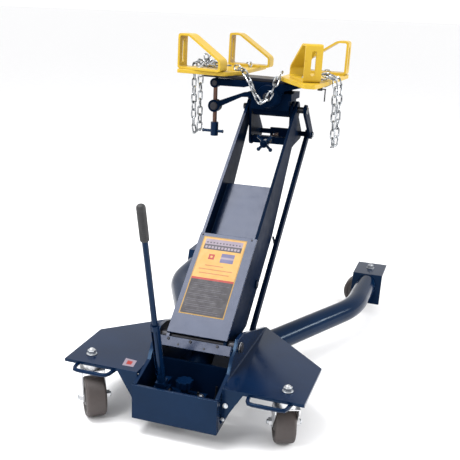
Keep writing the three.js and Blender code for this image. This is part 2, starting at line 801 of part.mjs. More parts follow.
// The slot in the left plate's outer edge that one chain drops through.
const CHAIN_SLOT = { y: -8, width: 25, depth: 63 };

// A bolt head under the right plate that clamps a thin hanging hook.
function plateHook() {
  const [x, y] = [170, -146];
  const hang = x + 15;
  return join(
    rodZ(x, y, PLATE_LOW - 9, PLATE_LOW + 0.5, 7.5, 6),
    block(x, hang + 1.8, y - 2, y + 2, PLATE_LOW - 6, PLATE_LOW - 3),
    rodZ(hang, y, PLATE_LOW - 38, PLATE_LOW - 4, 1.8, 8),
  );
}

// Each bracket: where its tall leg stands, and which way its foot runs, in degrees.
const BRACKETS = [
  { name: 'front_left', leg: [-277, -66], heading: -6 },
  { name: 'rear_left', leg: [-210, 206], heading: 0 },
  { name: 'front_right', leg: [150, -166], heading: 120 },
  { name: 'rear_right', leg: [188, 172], heading: 180 },
];

function buildSaddle(saddle) {
  mesh(saddle, 'rocker', rocker(), NAVY);
  const barLow = ROCKER_TOP + GAP;
  mesh(saddle, 'saddle_bar', block(-215, 165, -40, 40, barLow, barLow + BAR_THICK), BLACK_STEEL);
  Object.entries(PLATES).forEach(([side, outline]) => {
    const plate = acrossZ(rounded(outline, 8), PLATE_LOW, PLATE_TOP);
    const { y, width, depth } = CHAIN_SLOT;
    const edge = PLATES.left[0][0];
    const slot = block(edge - 5, edge + depth, y - width / 2, y + width / 2, 0, 100);
    const whole = side === 'left' ? cut(plate, slot) : join(plate, plateHook());
    mesh(saddle, `saddle_plate_${side}`, whole, YELLOW);
  });
  BRACKETS.forEach(({ name, leg, heading }) => {
    const turn = THREE.MathUtils.degToRad(heading);
    const x = leg[0] + BRACKET_BOLT * Math.cos(turn);
    const y = leg[1] + BRACKET_BOLT * Math.sin(turn);
    const place = groupAt(saddle, x, y, PLATE_TOP + GAP);
    place.rotation.z = turn;
    mesh(place, `corner_bracket_${name}`, cornerBracket(), YELLOW);
  });
}

// ---- chains: the space that the hanging links take up ----

const CHAIN_ROUTES = {
  chain_center: [
    [-110, 716, 824], [-86, 700, 824], [-66, 680, 813], [-46, 664, 790], [-27, 657, 757],
    [-8, 655, 733], [14, 657, 748], [28, 664, 782], [36, 678, 809], [42, 692, 820],
  ],
  chain_left: [
    [-150, 792, 823], [-176, 778, 823.5], [-200, 764, 824], [-222, 758, 823.5], [-231, 758, 814],
    [-233.5, 758, 800], [-233.5, 758, 760], [-233.5, 758, 700], [-233.5, 758, 640],
    [-236, 758, 618], [-244, 758, 609], [-252, 758, 618], [-254.5, 758, 640],
    [-254.5, 758, 700], [-254.5, 758, 760], [-254.5, 758, 800], [-254.5, 764, 828],
    [-248, 790, 832], [-240, 803, 825],
  ],
  chain_right: [
    [150, 690, 814.5], [172, 697, 815.3], [187, 703, 814.0], [197, 706, 804],
    [197.5, 707, 788], [197.5, 708, 760], [199, 711, 640], [201, 716, 616], [203, 722, 606],
    [205, 728, 614], [206, 733, 636], [206, 738, 700], [205, 740, 760], [203.5, 741, 790],
    [198, 741, 806], [187, 742, 815], [172, 744, 817], [150, 752, 814.6],
  ],
};

function buildChains(root) {
  Object.entries(CHAIN_ROUTES).forEach(([name, points]) => {
    const path = new THREE.CatmullRomCurve3(points.map((p) => new THREE.Vector3(...p)));
    mesh(root, name, along(path, CHAIN_W / 2, 8, points.length * 2), ZINC);
  });
}

// ---- pump and handle ----

function pumpBlock() {
  const [px, py, pz] = HANDLE_PIVOT;
  const low = BOX_FLOOR + 8 + GAP;
  const body = block(-82, 44, 74, 114, low, PUMP_TOP);
  const lugs = [-18, 12].map((dx) => {
    const side = [[py - 12, pz + 12], [py - 12, low], [76, low], [76, pz - 8], [py + 12, pz + 12]];
    return acrossX(side, px + dx, px + dx + 6);
  });
  const pin = rodX(px - 14, px + 14, py, pz, 6, 16);
  const post = rodZ(...KNOB, PUMP_TOP - 2, KNOB_LOW - 0.4, 9.5);
  const bore = rodZ(px, PLUNGER_Y, low + 5, 120, 5.8, 16);
  return cut(join(body, ...lugs, pin, post), bore);
}

// A fluted knob on the release valve.
function releaseKnob() {
  const body = rodZ(...KNOB, KNOB_LOW, KNOB_LOW + 18, KNOB_R, 24);
  const flutes = Array.from({ length: 8 }, (_, i) => {
    const t = (i * Math.PI) / 4;
    const [dx, dy] = [Math.cos(t), Math.sin(t)].map((v) => v * (KNOB_R + 2.5));
    return rodZ(KNOB[0] + dx, KNOB[1] + dy, KNOB_LOW - 5, KNOB_LOW + 25, 6, 8);
  });
  return cut(body, ...flutes);
}

function buildHandle(root) {
  mesh(root, 'pump_block', pumpBlock(), NAVY);
  mesh(root, 'release_knob', releaseKnob(), NAVY);
  const [px, py, pz] = HANDLE_PIVOT;
  mesh(root, 'pump_plunger', rodZ(px, PLUNGER_Y, PUMP_TOP, pz + 3.5, 5, 16), CHROME);
  const handle = groupAt(root, px, py, pz);
  handle.rotation.x = HANDLE_LEAN;
  const socketTop = 198;
  const socket = cut(
    join(
      rodX(-11.5, 11.5, 0, 0, 12),
      block(-11.5, 11.5, -12, 12, 0, 30),
      rodZ(0, 0, 20, socketTop, 10.8),
    ),
    rodX(-20, 20, 0, 0, 6.4, 16),
    rodZ(0, 0, 48, socketTop + 20, ROD_R + 0.5),
    block(-ROD_R, ROD_R, -20, 0, 52, socketTop - 14),
  );
  const heel = block(-8, 8, 6, 42, 8, 16).rotateX(-HANDLE_LEAN);
  mesh(handle, 'handle_socket', join(socket, heel), NAVY);
  const gripFrom = HANDLE_LENGTH - GRIP_LENGTH;
  const rod = rodZ(0, 0, 49, HANDLE_LENGTH - 4, ROD_R, 20);
  mesh(handle, 'handle_rod', rod, NAVY);
  const grip = cut(
    rodZ(0, 0, gripFrom, HANDLE_LENGTH, 10.5, 20),
    rodZ(0, 0, gripFrom - 10, HANDLE_LENGTH - 3.6, ROD_R + GAP, 20),
  );
  mesh(handle, 'handle_grip', grip, RUBBER);
}

// ---- the whole jack, centred over the floor ----

const jack = new THREE.Group();
buildChassis(jack);
buildCasters(jack);
buildArm(jack);
buildLink(jack);
buildCylinder(jack);
buildHead(jack);
buildChains(jack);
buildHandle(jack);

jack.updateMatrixWorld(true);
const middle = new THREE.Box3().setFromObject(jack, true).getCenter(new THREE.Vector3());
jack.position.set(-middle.x, -middle.y, 0);

export default jack;
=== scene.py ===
import json
import math

import bmesh
import bpy
from mathutils import Matrix, Vector


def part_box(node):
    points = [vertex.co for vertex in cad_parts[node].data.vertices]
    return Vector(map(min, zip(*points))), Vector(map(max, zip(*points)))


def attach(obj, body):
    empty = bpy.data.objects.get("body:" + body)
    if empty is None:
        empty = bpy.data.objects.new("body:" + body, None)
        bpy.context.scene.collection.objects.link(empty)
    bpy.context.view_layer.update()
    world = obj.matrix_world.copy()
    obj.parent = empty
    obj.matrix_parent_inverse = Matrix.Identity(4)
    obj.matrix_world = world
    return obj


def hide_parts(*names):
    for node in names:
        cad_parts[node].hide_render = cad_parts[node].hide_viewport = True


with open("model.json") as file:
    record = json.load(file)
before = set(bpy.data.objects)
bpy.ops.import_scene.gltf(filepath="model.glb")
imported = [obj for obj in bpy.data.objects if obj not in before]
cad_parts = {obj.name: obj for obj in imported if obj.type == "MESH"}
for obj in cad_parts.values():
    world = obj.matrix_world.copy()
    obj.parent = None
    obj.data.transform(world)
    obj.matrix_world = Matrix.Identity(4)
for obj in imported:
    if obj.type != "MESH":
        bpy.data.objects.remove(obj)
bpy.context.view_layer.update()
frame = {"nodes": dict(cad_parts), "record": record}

# Lengths are in millimetres, laid out from the middle of the front plate: +X right, +Y to the
# rear, +Z up. place() turns them into the frame's metres.

FRONT_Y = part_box("front_plate")[0].y * 1000
X, Y, Z = Vector((1, 0, 0)), Vector((0, 1, 0)), Vector((0, 0, 1))


def place(x, y, z):
    return Vector((x, y + FRONT_Y, z)) / 1000


# ---- driving dimensions ----

ARM_PIVOT = (160, 196)
ARM_LENGTH = 792
ARM_ANGLE = math.radians(40.1)
HEAD_Y = ARM_PIVOT[0] + ARM_LENGTH * math.cos(ARM_ANGLE)
HEAD_Z = ARM_PIVOT[1] + ARM_LENGTH * math.sin(ARM_ANGLE)
LATERAL_Z = 42
LATERAL_TILT = math.radians(1.3)
PLATE_TOP = 60
BOX_SIDE = 108.3
TUBE_Z = 103
HANDLE_PIVOT = (56, 100)
WHEEL_R = 50.8
HUB_R = 38.5
TRAIL = 33
CASTER_PLATE = 8
CHAIN_WIRE = 5
CHAIN_PITCH = 24
CHAIN_WIDTH = 19

# Each caster's stem in x and y, its heading in degrees, and the top of the plate it hangs from.
CASTERS = {
    "front_left": (-254, 76, 37, 149),
    "front_right": (254, 76, 201, 149),
    "rear_left": (-303, 1062, 35, 137),
    "rear_right": (303, 1062, -90, 137),
}
SIDES = (("left", -1), ("right", 1))

# ---- camera ----

CAMERA_AT = (591.4, -1453.2, 1000.8)
CAMERA_YAW, CAMERA_PITCH, CAMERA_ROLL = (math.radians(a) for a in (17.843, 16.665, 2.074))
CAMERA_LENS = 58.68
SENSOR_WIDTH = 36
FAR_CLIP = 100


def add_camera():
    yaw, pitch, roll = CAMERA_YAW, CAMERA_PITCH, CAMERA_ROLL
    level = math.cos(pitch)
    forward = Vector((-math.sin(yaw) * level, math.cos(yaw) * level, -math.sin(pitch)))
    right = Vector((math.cos(yaw), math.sin(yaw), 0))
    up = right.cross(forward)
    image_right = right * math.cos(roll) + up * math.sin(roll)
    image_up = up * math.cos(roll) - right * math.sin(roll)
    camera = bpy.data.objects.new("camera", bpy.data.cameras.new("camera"))
    camera.data.lens = CAMERA_LENS
    camera.data.sensor_width = SENSOR_WIDTH
    camera.data.clip_end = FAR_CLIP
    columns = Matrix((image_right, image_up, -forward)).transposed()
    camera.matrix_world = Matrix.Translation(place(*CAMERA_AT)) @ columns.to_4x4()
    bpy.context.scene.collection.objects.link(camera)
    bpy.context.scene.camera = camera


add_camera()

# ---- materials ----


def linear(display):
    """A colour for the shader from display values of 0 to 255."""
    channels = []
    for value in display:
        if value < 10.4:
            channels.append(value / 255 / 12.92)
        else:
            channels.append(((value / 255 + 0.055) / 1.055) ** 2.4)
    return (*channels, 1)


def material(
    name, base, other, roughness, metallic=0.0, grain=60, bump=0.02, spread=0.06,
    shine=0.5, gleam=(1, 1, 1), broad=9, wear=None,
):
    """Two close colours mixed by layered noise, with uneven gloss and a fine bump."""
    made = bpy.data.materials.new(name)
    made.use_nodes = True
    nodes, links = made.node_tree.nodes, made.node_tree.links
    shader = nodes["Principled BSDF"]
    shader.inputs["Metallic"].default_value = metallic
    shader.inputs["Specular IOR Level"].default_value = shine
    shader.inputs["Specular Tint"].default_value = (*gleam, 1)
    where = nodes.new("ShaderNodeTexCoord")

    def noise(scale, detail, rough=0.55):
        texture = nodes.new("ShaderNodeTexNoise")
        texture.inputs["Scale"].default_value = scale
        texture.inputs["Detail"].default_value = detail
        texture.inputs["Roughness"].default_value = rough
        links.new(where.outputs["Object"], texture.inputs["Vector"])
        return texture.outputs["Fac"]

    def ramp(value, low, high, at_low, at_high):
        bar = nodes.new("ShaderNodeMapRange")
        bar.inputs["From Min"].default_value = low
        bar.inputs["From Max"].default_value = high
        bar.inputs["To Min"].default_value = at_low
        bar.inputs["To Max"].default_value = at_high
        links.new(value, bar.inputs["Value"])
        return bar.outputs["Result"]

    wide = noise(broad, 4)
    fine = noise(grain, 6)
    mix = nodes.new("ShaderNodeMix")
    mix.data_type = "RGBA"
    mix.inputs["A"].default_value = linear(base)
    mix.inputs["B"].default_value = linear(other)
    links.new(ramp(wide, 0.35, 0.65, 0, 1), mix.inputs["Factor"])
    colour = mix.outputs["Result"]
    if wear:
        worn = nodes.new("ShaderNodeMix")
        worn.data_type = "RGBA"
        worn.inputs["B"].default_value = linear(wear)
        links.new(colour, worn.inputs["A"])
        links.new(ramp(fine, 0.66, 0.72, 0, 0.6), worn.inputs["Factor"])
        colour = worn.outputs["Result"]
    links.new(colour, shader.inputs["Base Color"])
    gloss = ramp(fine, 0.3, 0.7, roughness - spread, roughness + spread)
    links.new(gloss, shader.inputs["Roughness"])
    relief = nodes.new("ShaderNodeBump")
    relief.inputs["Strength"].default_value = 0.5
    relief.inputs["Distance"].default_value = bump / 1000
    links.new(noise(grain * 6, 3), relief.inputs["Height"])
    links.new(relief.outputs["Normal"], shader.inputs["Normal"])
    return made


def paint(name, base, other, roughness, shine, gleam, spread=0.04):
    return material(
        name, base, other, roughness, grain=40, bump=0.08, spread=spread, shine=shine, gleam=gleam,
    )


def ink(name, base, other):
    return material("label_" + name, base, other, 0.4, grain=60, bump=0.03, shine=0.2)


NAVY = paint("navy_gloss", (3, 19, 43), (5, 24, 50), 0.18, 0.22, (0.4, 0.66, 1))
# The navy paint darkened and nearly without gloss: painted shade for faces that sit in shade, inside the
# box, on the arm's sides and in the head.
NAVY_PAINTED_SHADE = paint("navy_painted_shade", (2, 13, 31), (4, 17, 38), 0.34, 0.015, (0.46, 0.72, 1), 0.05)
NAVY_PANEL = paint("navy_panel", (3, 19, 43), (5, 24, 50), 0.2, 0.24, (0.8, 0.84, 1))
NAVY_TUBE = paint("navy_tube", (1, 19, 42), (3, 24, 49), 0.17, 0.1, (0.6, 0.82, 1))
YELLOW = material(
    "yellow_gloss", (180, 149, 44), (170, 139, 36), 0.34,
    grain=50, bump=0.2, shine=0.25, wear=(150, 118, 30),
)
ZINC = material(
    "zinc_plate", (200, 203, 206), (168, 172, 178), 0.3, metallic=0.9, grain=120, bump=0.1,
)
CHAIN_ZINC = material(
    "chain_zinc", (204, 207, 210), (84, 88, 92), 0.26, metallic=0.95, grain=120, bump=0.1, broad=70,
)
FORK_ZINC = material(
    "fork_zinc", (206, 207, 208), (186, 187, 190), 0.36, metallic=0.75, grain=90, bump=0.1,
)
DARK_STEEL = material(
    "dark_steel", (38, 38, 44), (24, 24, 30), 0.4, metallic=0.6, grain=90, bump=0.1,
)
BROWN_STEEL = material(
    "oiled_thread", (84, 58, 48), (58, 42, 38), 0.42, metallic=0.55, grain=150, bump=0.15,
)
CHROME = material(
    "chrome_rod", (214, 216, 220), (196, 198, 204), 0.12,
    metallic=1.0, grain=200, bump=0.02, spread=0.04,
)
TREAD = material("tread", (64, 56, 54), (52, 46, 45), 0.6, grain=70, bump=0.3, wear=(84, 77, 73))
HUB = material("hub", (70, 65, 63), (56, 52, 52), 0.55, grain=80, bump=0.2)
# Black rubber for the grip, also used for flat discs of painted shade in holes.
RUBBER_AND_HOLE_SHADE = material("grip_rubber_and_hole_shade", (22, 22, 24), (32, 32, 34), 0.62, grain=140, bump=0.3)
GREASE = material("grease", (70, 60, 44), (46, 40, 32), 0.3, grain=160, bump=0.2)
LABEL_GOLD = ink("gold", (142, 110, 48), (134, 102, 44))
LABEL_YELLOW = ink("yellow", (176, 136, 70), (166, 124, 60))
LABEL_PALE = ink("pale", (128, 116, 126), (116, 106, 118))
LABEL_DARK = ink("dark", (42, 38, 46), (52, 48, 56))
LABEL_RED = ink("red", (140, 36, 26), (130, 30, 22))
LABEL_GREY = ink("grey", (38, 35, 41), (32, 29, 35))
LABEL_ORANGE = ink("orange", (150, 96, 52), (142, 88, 46))
LABEL_BLUE = ink("blue", (70, 76, 112), (96, 86, 112))
LABEL_TEXT = ink("text", (74, 71, 80), (64, 62, 72))

# ---- mesh helpers ----

SMOOTH_UNDER = math.radians(34)
ROUND_OVER = math.radians(28)
FLAT_UNDER = math.radians(1.5)
MERGE_WITHIN = 2e-5
# Stands for a radius of zero where a turned shape ends on its axis.
POINTED = 0.05


def body_of(node):
    for body, members in frame["record"]["behaviour"]["bodies"].items():
        if node in members:
            return body


def from_bmesh(name, shape, look, body, stands_for=(), weighted=True):
    """A finished piece that rides on a body, and stands for the CAD nodes it replaces."""
    mesh = bpy.data.meshes.new(name)
    bmesh.ops.recalc_face_normals(shape, faces=shape.faces)
    shape.to_mesh(mesh)
    shape.free()
    mesh.shade_smooth()
    mesh.set_sharp_from_angle(angle=SMOOTH_UNDER)
    piece = bpy.data.objects.new(name, mesh)
    bpy.context.scene.collection.objects.link(piece)
    mesh.materials.append(look)
    if weighted:
        normals = piece.modifiers.new("normals", "WEIGHTED_NORMAL")
        normals.keep_sharp = True
    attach(piece, body)
    if stands_for:
        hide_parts(*stands_for)
    return piece


def round_edges(shape, width, segments=2):
    """Bevels every sharp edge. Width is in millimetres."""
    edges = [e for e in shape.edges if len(e.link_faces) == 2 and e.calc_face_angle(0) > ROUND_OVER]
    bmesh.ops.bevel(
        shape, geom=edges, offset=width / 1000, segments=segments, profile=0.5,
        affect="EDGES", clamp_overlap=True,
    )


def refined(node, look, width, segments=2):
    """A CAD node with its facets merged and its edges rounded."""
    shape = bmesh.new()
    shape.from_mesh(frame["nodes"][node].data)
    bmesh.ops.remove_doubles(shape, verts=shape.verts, dist=MERGE_WITHIN)
    bmesh.ops.dissolve_limit(
        shape, angle_limit=FLAT_UNDER, verts=shape.verts, edges=shape.edges,
    )
    round_edges(shape, width, segments)
    return from_bmesh(node + "_finish", shape, look, body_of(node), [node])


def repaint(piece, look, chosen):
    """Gives a second material to the faces whose middle passes a test."""
    piece.data.materials.append(look)
    for face in piece.data.polygons:
        if chosen(face.center):
            face.material_index = 1


def add_ring_strip(shape, rings, closed=False):
    """Joins equal rings of points, in metres, into a skin: a closed loop of rings, or capped ends."""
    made = [[shape.verts.new(p) for p in ring] for ring in rings]
    count = len(rings[0])
    pairs = list(zip(made, made[1:] + ([made[0]] if closed else [])))
    for a, b in pairs:
        for i in range(count):
            j = (i + 1) % count
            shape.faces.new((a[i], a[j], b[j], b[i]))
    if not closed:
        shape.faces.new(list(reversed(made[0])))
        shape.faces.new(made[-1])


def at_angle(matrix, radius, angle, height=0):
    """A point about the local Z of matrix. Lengths are in millimetres."""
    return matrix @ (Vector((radius * math.cos(angle), radius * math.sin(angle), height)) / 1000)


def add_lathe(shape, profile, matrix, sides=40, looped=False, turn=0.0):
    """Turns (radius, height) pairs about the local Z of matrix. A looped profile closes on itself."""
    angles = [turn + 2 * math.pi * i / sides for i in range(sides)]
    rings = [
        [at_angle(matrix, radius, angle, height) for angle in angles] for radius, height in profile
    ]
    add_ring_strip(shape, rings, closed=looped)


def frames_along(points, closed=False):
    """A steady pair of side directions at each point of a path."""
    count = len(points)
    tangents = []
    for i in range(count):
        before = points[i - 1] if closed or i else points[i]
        after = points[(i + 1) % count] if closed or i < count - 1 else points[i]
        tangents.append((after - before).normalized())
    side = tangents[0].orthogonal().normalized()
    pairs = []
    for tangent in tangents:
        side = (side - tangent * side.dot(tangent)).normalized()
        pairs.append((side, tangent.cross(side)))
    return pairs


def add_sweep(shape, points, radius, sides=20, closed=False):
    """A round bar along points, in metres; radius in millimetres."""
    rings = []
    for point, (a, b) in zip(points, frames_along(points, closed)):
        ring = []
        for i in range(sides):
            angle = 2 * math.pi * i / sides
            ring.append(point + (a * math.cos(angle) + b * math.sin(angle)) * radius / 1000)
        rings.append(ring)
    add_ring_strip(shape, rings, closed=closed)


def add_prism(shape, outline, matrix, low, high):
    """An outline in local x and y, from height low to high, in millimetres."""
    bottom = [shape.verts.new(matrix @ (Vector((x, y, low)) / 1000)) for x, y in outline]
    top = [shape.verts.new(matrix @ (Vector((x, y, high)) / 1000)) for x, y in outline]
    shape.faces.new(list(reversed(bottom)))
    shape.faces.new(top)
    for i in range(len(outline)):
        j = (i + 1) % len(outline)
        shape.faces.new((bottom[i], bottom[j], top[j], top[i]))


def smooth_path(points, spacing):
    """A Catmull-Rom curve through points, resampled at an even spacing. All in metres."""
    dense = []
    extended = [points[0] * 2 - points[1]] + points + [points[-1] * 2 - points[-2]]
    for a, b, c, d in zip(extended, extended[1:], extended[2:], extended[3:]):
        square = 2 * a - 5 * b + 4 * c - d
        cube = 3 * b - a - 3 * c + d
        for k in range(24):
            t = k / 24
            dense.append(0.5 * ((2 * b) + (c - a) * t + square * t**2 + cube * t**3))
    dense.append(points[-1])
    lengths = [0.0]
    for p, q in zip(dense, dense[1:]):
        lengths.append(lengths[-1] + (q - p).length)
    count = max(2, round(lengths[-1] / spacing))
    out, k = [], 0
    for i in range(count + 1):
        target = lengths[-1] * i / count
        while k < len(lengths) - 2 and lengths[k + 1] < target:
            k += 1
        span = lengths[k + 1] - lengths[k]
        part = (target - lengths[k]) / span if span else 0
        out.append(dense[k].lerp(dense[k + 1], part))
    return out, lengths[-1]


def bent_path(points, radius, steps=10):
    """Straight runs joined by round bends. Points in millimetres, result in metres."""
    out = [place(*points[0])]
    for before, corner, after in zip(points, points[1:], points[2:]):
        c = Vector(corner)
        a = c + (Vector(before) - c).normalized() * radius
        b = c + (Vector(after) - c).normalized() * radius
        for i in range(steps + 1):
            t = i / steps
            out.append(place(*((1 - t) ** 2 * a + 2 * t * (1 - t) * c + t**2 * b)))
    out.append(place(*points[-1]))
    return out


def axis_matrix(at, direction):
    """A frame at a point whose local Z runs along direction."""
    z = direction.normalized()
    x = z.orthogonal().normalized() if abs(z.z) < 0.99 else X
    y = z.cross(x)
    return Matrix.Translation(at) @ Matrix((x, y, z)).transposed().to_4x4()


def frame_at(at, angle, axis):
    """A frame at a point, in metres, turned about the X, Y or Z axis."""
    return Matrix.Translation(at) @ Matrix.Rotation(angle, 4, axis)


# ---- chains ----

CHAIN_ROUTES = {
    "chain_center": [
        (-110, 716, 824), (-86, 700, 824), (-66, 680, 813), (-46, 664, 790), (-27, 657, 757),
        (-8, 655, 733), (14, 657, 748), (28, 664, 782), (36, 678, 809), (42, 692, 820),
    ],
    "chain_left": [
        (-150, 792, 823), (-176, 778, 823.5), (-200, 764, 824), (-222, 758, 823.5), (-231, 758, 814),
        (-233.5, 758, 800), (-233.5, 758, 760), (-233.5, 758, 700), (-233.5, 758, 640),
        (-236, 758, 618), (-244, 758, 609), (-252, 758, 618), (-254.5, 758, 640),
        (-254.5, 758, 700), (-254.5, 758, 760), (-254.5, 758, 800), (-254.5, 764, 828),
        (-248, 790, 832), (-240, 803, 825),
    ],
    "chain_right": [
        (150, 690, 814.5), (172, 697, 815.3), (187, 703, 814), (197, 706, 804),
        (197.5, 707, 788), (197.5, 708, 760), (199, 711, 640), (201, 716, 616), (203, 722, 606),
        (205, 728, 614), (206, 733, 636), (206, 738, 700), (205, 740, 760), (203.5, 741, 790),
        (198, 741, 806), (187, 742, 815), (172, 744, 817), (150, 752, 814.6),
    ],
}


def add_link(shape, centre, along, across):
    """One oval link of round wire."""
    half_run = (CHAIN_PITCH + 2 * CHAIN_WIRE - CHAIN_WIDTH) / 2
    bend = (CHAIN_WIDTH - CHAIN_WIRE) / 2
    outline = []
    for end in (1, -1):
        for i in range(9):
            angle = math.pi * (i / 8 - 0.5)
            u = end * (half_run + bend * math.cos(angle))
            v = end * bend * math.sin(angle)
            outline.append(centre + (along * u + across * v) / 1000)
    add_sweep(shape, outline, CHAIN_WIRE / 2, sides=8, closed=True)


def add_chain(node):
    route = [place(*p) for p in CHAIN_ROUTES[node]]
    points, length = smooth_path(route, CHAIN_PITCH / 1000)
    shape = bmesh.new()
    pairs = frames_along(points)
    for i, (point, following) in enumerate(zip(points, points[1:])):
        centre = (point + following) / 2
        along = (following - point).normalized()
        side, other = pairs[i]
        turn = math.radians(45 + 90 * (i % 2) + 14 * math.sin(2.1 * i))
        across = side * math.cos(turn) + other * math.sin(turn)
        across = (across - along * across.dot(along)).normalized()
        add_link(shape, centre, along, across)
    piece = from_bmesh(node + "_links", shape, CHAIN_ZINC, "saddle", [node], weighted=False)


for chain in CHAIN_ROUTES:
    add_chain(chain)

# ---- chassis ----

for plate in ("wing_left", "wing_right", "leg_bracket_left", "leg_bracket_right"):
    refined(plate, NAVY, 1.0)
refined("cross_plate", NAVY_PANEL, 1.0)
# The inner faces of the front and side plates, and the pump tray, take the darkened navy: painted shade
# inside the box.
PLATE_BACK = place(0, 6, 0).y
SIDE_INSIDE = 100.5 / 1000
repaint(refined("front_plate", NAVY, 1.0), NAVY_PAINTED_SHADE, lambda at: at.y > PLATE_BACK)
for side, _ in SIDES:
    repaint(refined(f"side_plate_{side}", NAVY, 1.0), NAVY_PAINTED_SHADE, lambda at: abs(at.x) < SIDE_INSIDE)
refined("pump_tray", NAVY_PAINTED_SHADE, 1.0)


def add_leg(side, sign):
    """A bent leg tube, cut off flat at the box's side and at the leaning leg bracket."""
    spread = math.radians(26.5)
    start_x = 78
    start_y = 765 - (297 - start_x) / math.tan(spread)
    corners = [(start_x, start_y), (297, 765), (303, 1016)]
    path = bent_path([(sign * x, y, TUBE_Z) for x, y in corners], 70, 14)
    shape = bmesh.new()
    add_sweep(shape, path, 32, sides=48)
    gap = Vector((0, -0.0004, 0))
    bracket = place(0, 996, 137) + gap
    lean = math.radians(20)
    cuts = (
        ((place(sign * BOX_SIDE, 0, 0).x, 0, 0), (-sign, 0, 0)),
        (bracket, (0, math.cos(lean), -math.sin(lean))),
    )
    for point, outward in cuts:
        bmesh.ops.bisect_plane(
            shape, geom=shape.verts[:] + shape.edges[:] + shape.faces[:],
            plane_co=point, plane_no=outward, clear_outer=True,
        )
    bmesh.ops.holes_fill(shape, edges=[e for e in shape.edges if e.is_boundary])
    from_bmesh(f"leg_tube_{side}_finish", shape, NAVY_TUBE, "chassis", [f"leg_tube_{side}"])


for side, sign in SIDES:
    add_leg(side, sign)


def add_shaft(node, look, x0, x1, y, z, radius, body, groove=5):
    """A cross shaft with chamfered ends and a ring groove near each end."""
    shape = bmesh.new()
    half = (x1 - x0) / 2
    profile = [
        (POINTED, -half), (radius - 1, -half), (radius, -half + 1), (radius, -half + groove - 1.2),
        (radius - 1, -half + groove - 1), (radius - 1, -half + groove), (radius, -half + groove + 0.2),
        (radius, half - groove - 0.2), (radius - 1, half - groove), (radius - 1, half - groove + 1),
        (radius, half - groove + 1.2), (radius, half - 1), (radius - 1, half), (POINTED, half),
    ]
    add_lathe(shape, profile, axis_matrix(place((x0 + x1) / 2, y, z), X))
    from_bmesh(node + "_finish", shape, look, body, [node])


add_shaft("pivot_shaft", DARK_STEEL, -115, 115, *ARM_PIVOT, 12.5, "chassis")
add_shaft("cylinder_pin", DARK_STEEL, -108, 108, 144, 104, 9, "chassis")


def add_stem_nut(name, x, y, top):
    shape = bmesh.new()
    base = Matrix.Translation(place(x, y, top))
    washer = [(6.7, 0.3), (12.4, 0.3), (13, 0.9), (13, 2.4), (12.4, 3), (6.7, 3)]
    add_lathe(shape, washer, base, 32, looped=True)
    add_lathe(shape, [(10.2, 3), (10.8, 3.6), (10.8, 11), (9.6, 12)], base, 6, turn=0.4)
    from_bmesh(f"stem_nut_{name}_finish", shape, ZINC, "chassis", [f"stem_nut_{name}"])


# ---- casters ----


def wheel_profile():
    crown = [(WHEEL_R - 7 + 7 * math.cos(a), 18 + 7 * math.sin(a)) for a in (0, 0.4, 0.8, 1.2, 1.5)]
    half = crown + [
        (40.5, 25), (39.5, 24.2), (37, 20.4), (35.5, 20), (25, 20),
        (23.5, 20.6), (20.5, 24.4), (19.5, 25), (6.9, 25),
    ]
    return [(r, -w) for r, w in reversed(half)] + half


def caster_frame(x, y, heading):
    """A frame on the floor under a caster's stem, turned to its heading."""
    return frame_at(place(x, y, 0), math.radians(heading), "Z")


def add_caster(name, x, y, heading, top):
    to_axle = Matrix.Translation(Vector((0, -TRAIL, WHEEL_R)) / 1000)
    axle = caster_frame(x, y, heading) @ to_axle @ Matrix.Rotation(math.pi / 2, 4, "Y")
    shape = bmesh.new()
    add_lathe(shape, wheel_profile(), axle, 64, looped=True)
    node = f"caster_wheel_{name}"
    wheel = from_bmesh(node + "_finish", shape, TREAD, f"wheel_{name}", [node])
    centre = axle.to_translation()
    axis = (axle.to_3x3() @ Z).normalized()

    def in_hub(at):
        arm = at - centre
        return (arm - axis * arm.dot(axis)).length < HUB_R / 1000

    repaint(wheel, HUB, in_hub)
    refined(f"caster_fork_{name}", FORK_ZINC, 0.8)
    add_stem_nut(name, x, y, top)


for caster, placing in CASTERS.items():
    add_caster(caster, *placing)

# ---- lift arm ----

for plate in ("arm_cover", "arm_web"):
    refined(plate, NAVY_PANEL, 1.0)
# The link rod, between the arm's sides, takes the darkened navy: painted shade.
refined("link_rod", NAVY_PAINTED_SHADE, 1.2)
ARM_FRAME = frame_at(place(0, *ARM_PIVOT), ARM_ANGLE, "X")
ARM_RIM = 18.4 / 1000
LUG = (226, -82)


def arm_point(x, s, n):
    """A point by its place along the arm and off its front."""
    return ARM_FRAME @ (Vector((x, s, n)) / 1000)


# The arm's side plates take the darkened navy as painted shade; the left front rim takes the panel
# paint, while the right rim stays in painted shade.
for plate in ("arm_side_left", "arm_side_right"):
    rim = NAVY_PANEL if plate.endswith("left") else NAVY_PAINTED_SHADE
    repaint(refined(plate, NAVY_PAINTED_SHADE, 1.0), rim, lambda at: (ARM_FRAME.inverted() @ at).z > ARM_RIM)
lug = arm_point(0, *LUG) * 1000
add_shaft("arm_lug_shaft", DARK_STEEL, -84, 84, lug.y - FRONT_Y, lug.z, 9, "lift_arm", 3)
add_shaft("head_shaft", DARK_STEEL, -92, 110, HEAD_Y, HEAD_Z, 9.5, "lift_arm", 4)


def add_panel(name, look, x0, x1, s0, s1, low, high):
    """A thin flat panel on the arm's cover, with softened corners."""
    shape = bmesh.new()
    add_prism(shape, [(x0, s0), (x1, s0), (x1, s1), (x0, s1)], ARM_FRAME, low, high)
    round_edges(shape, 0.12, 1)
    from_bmesh(name, shape, look, "lift_arm")


COVER_TOP = 24.3


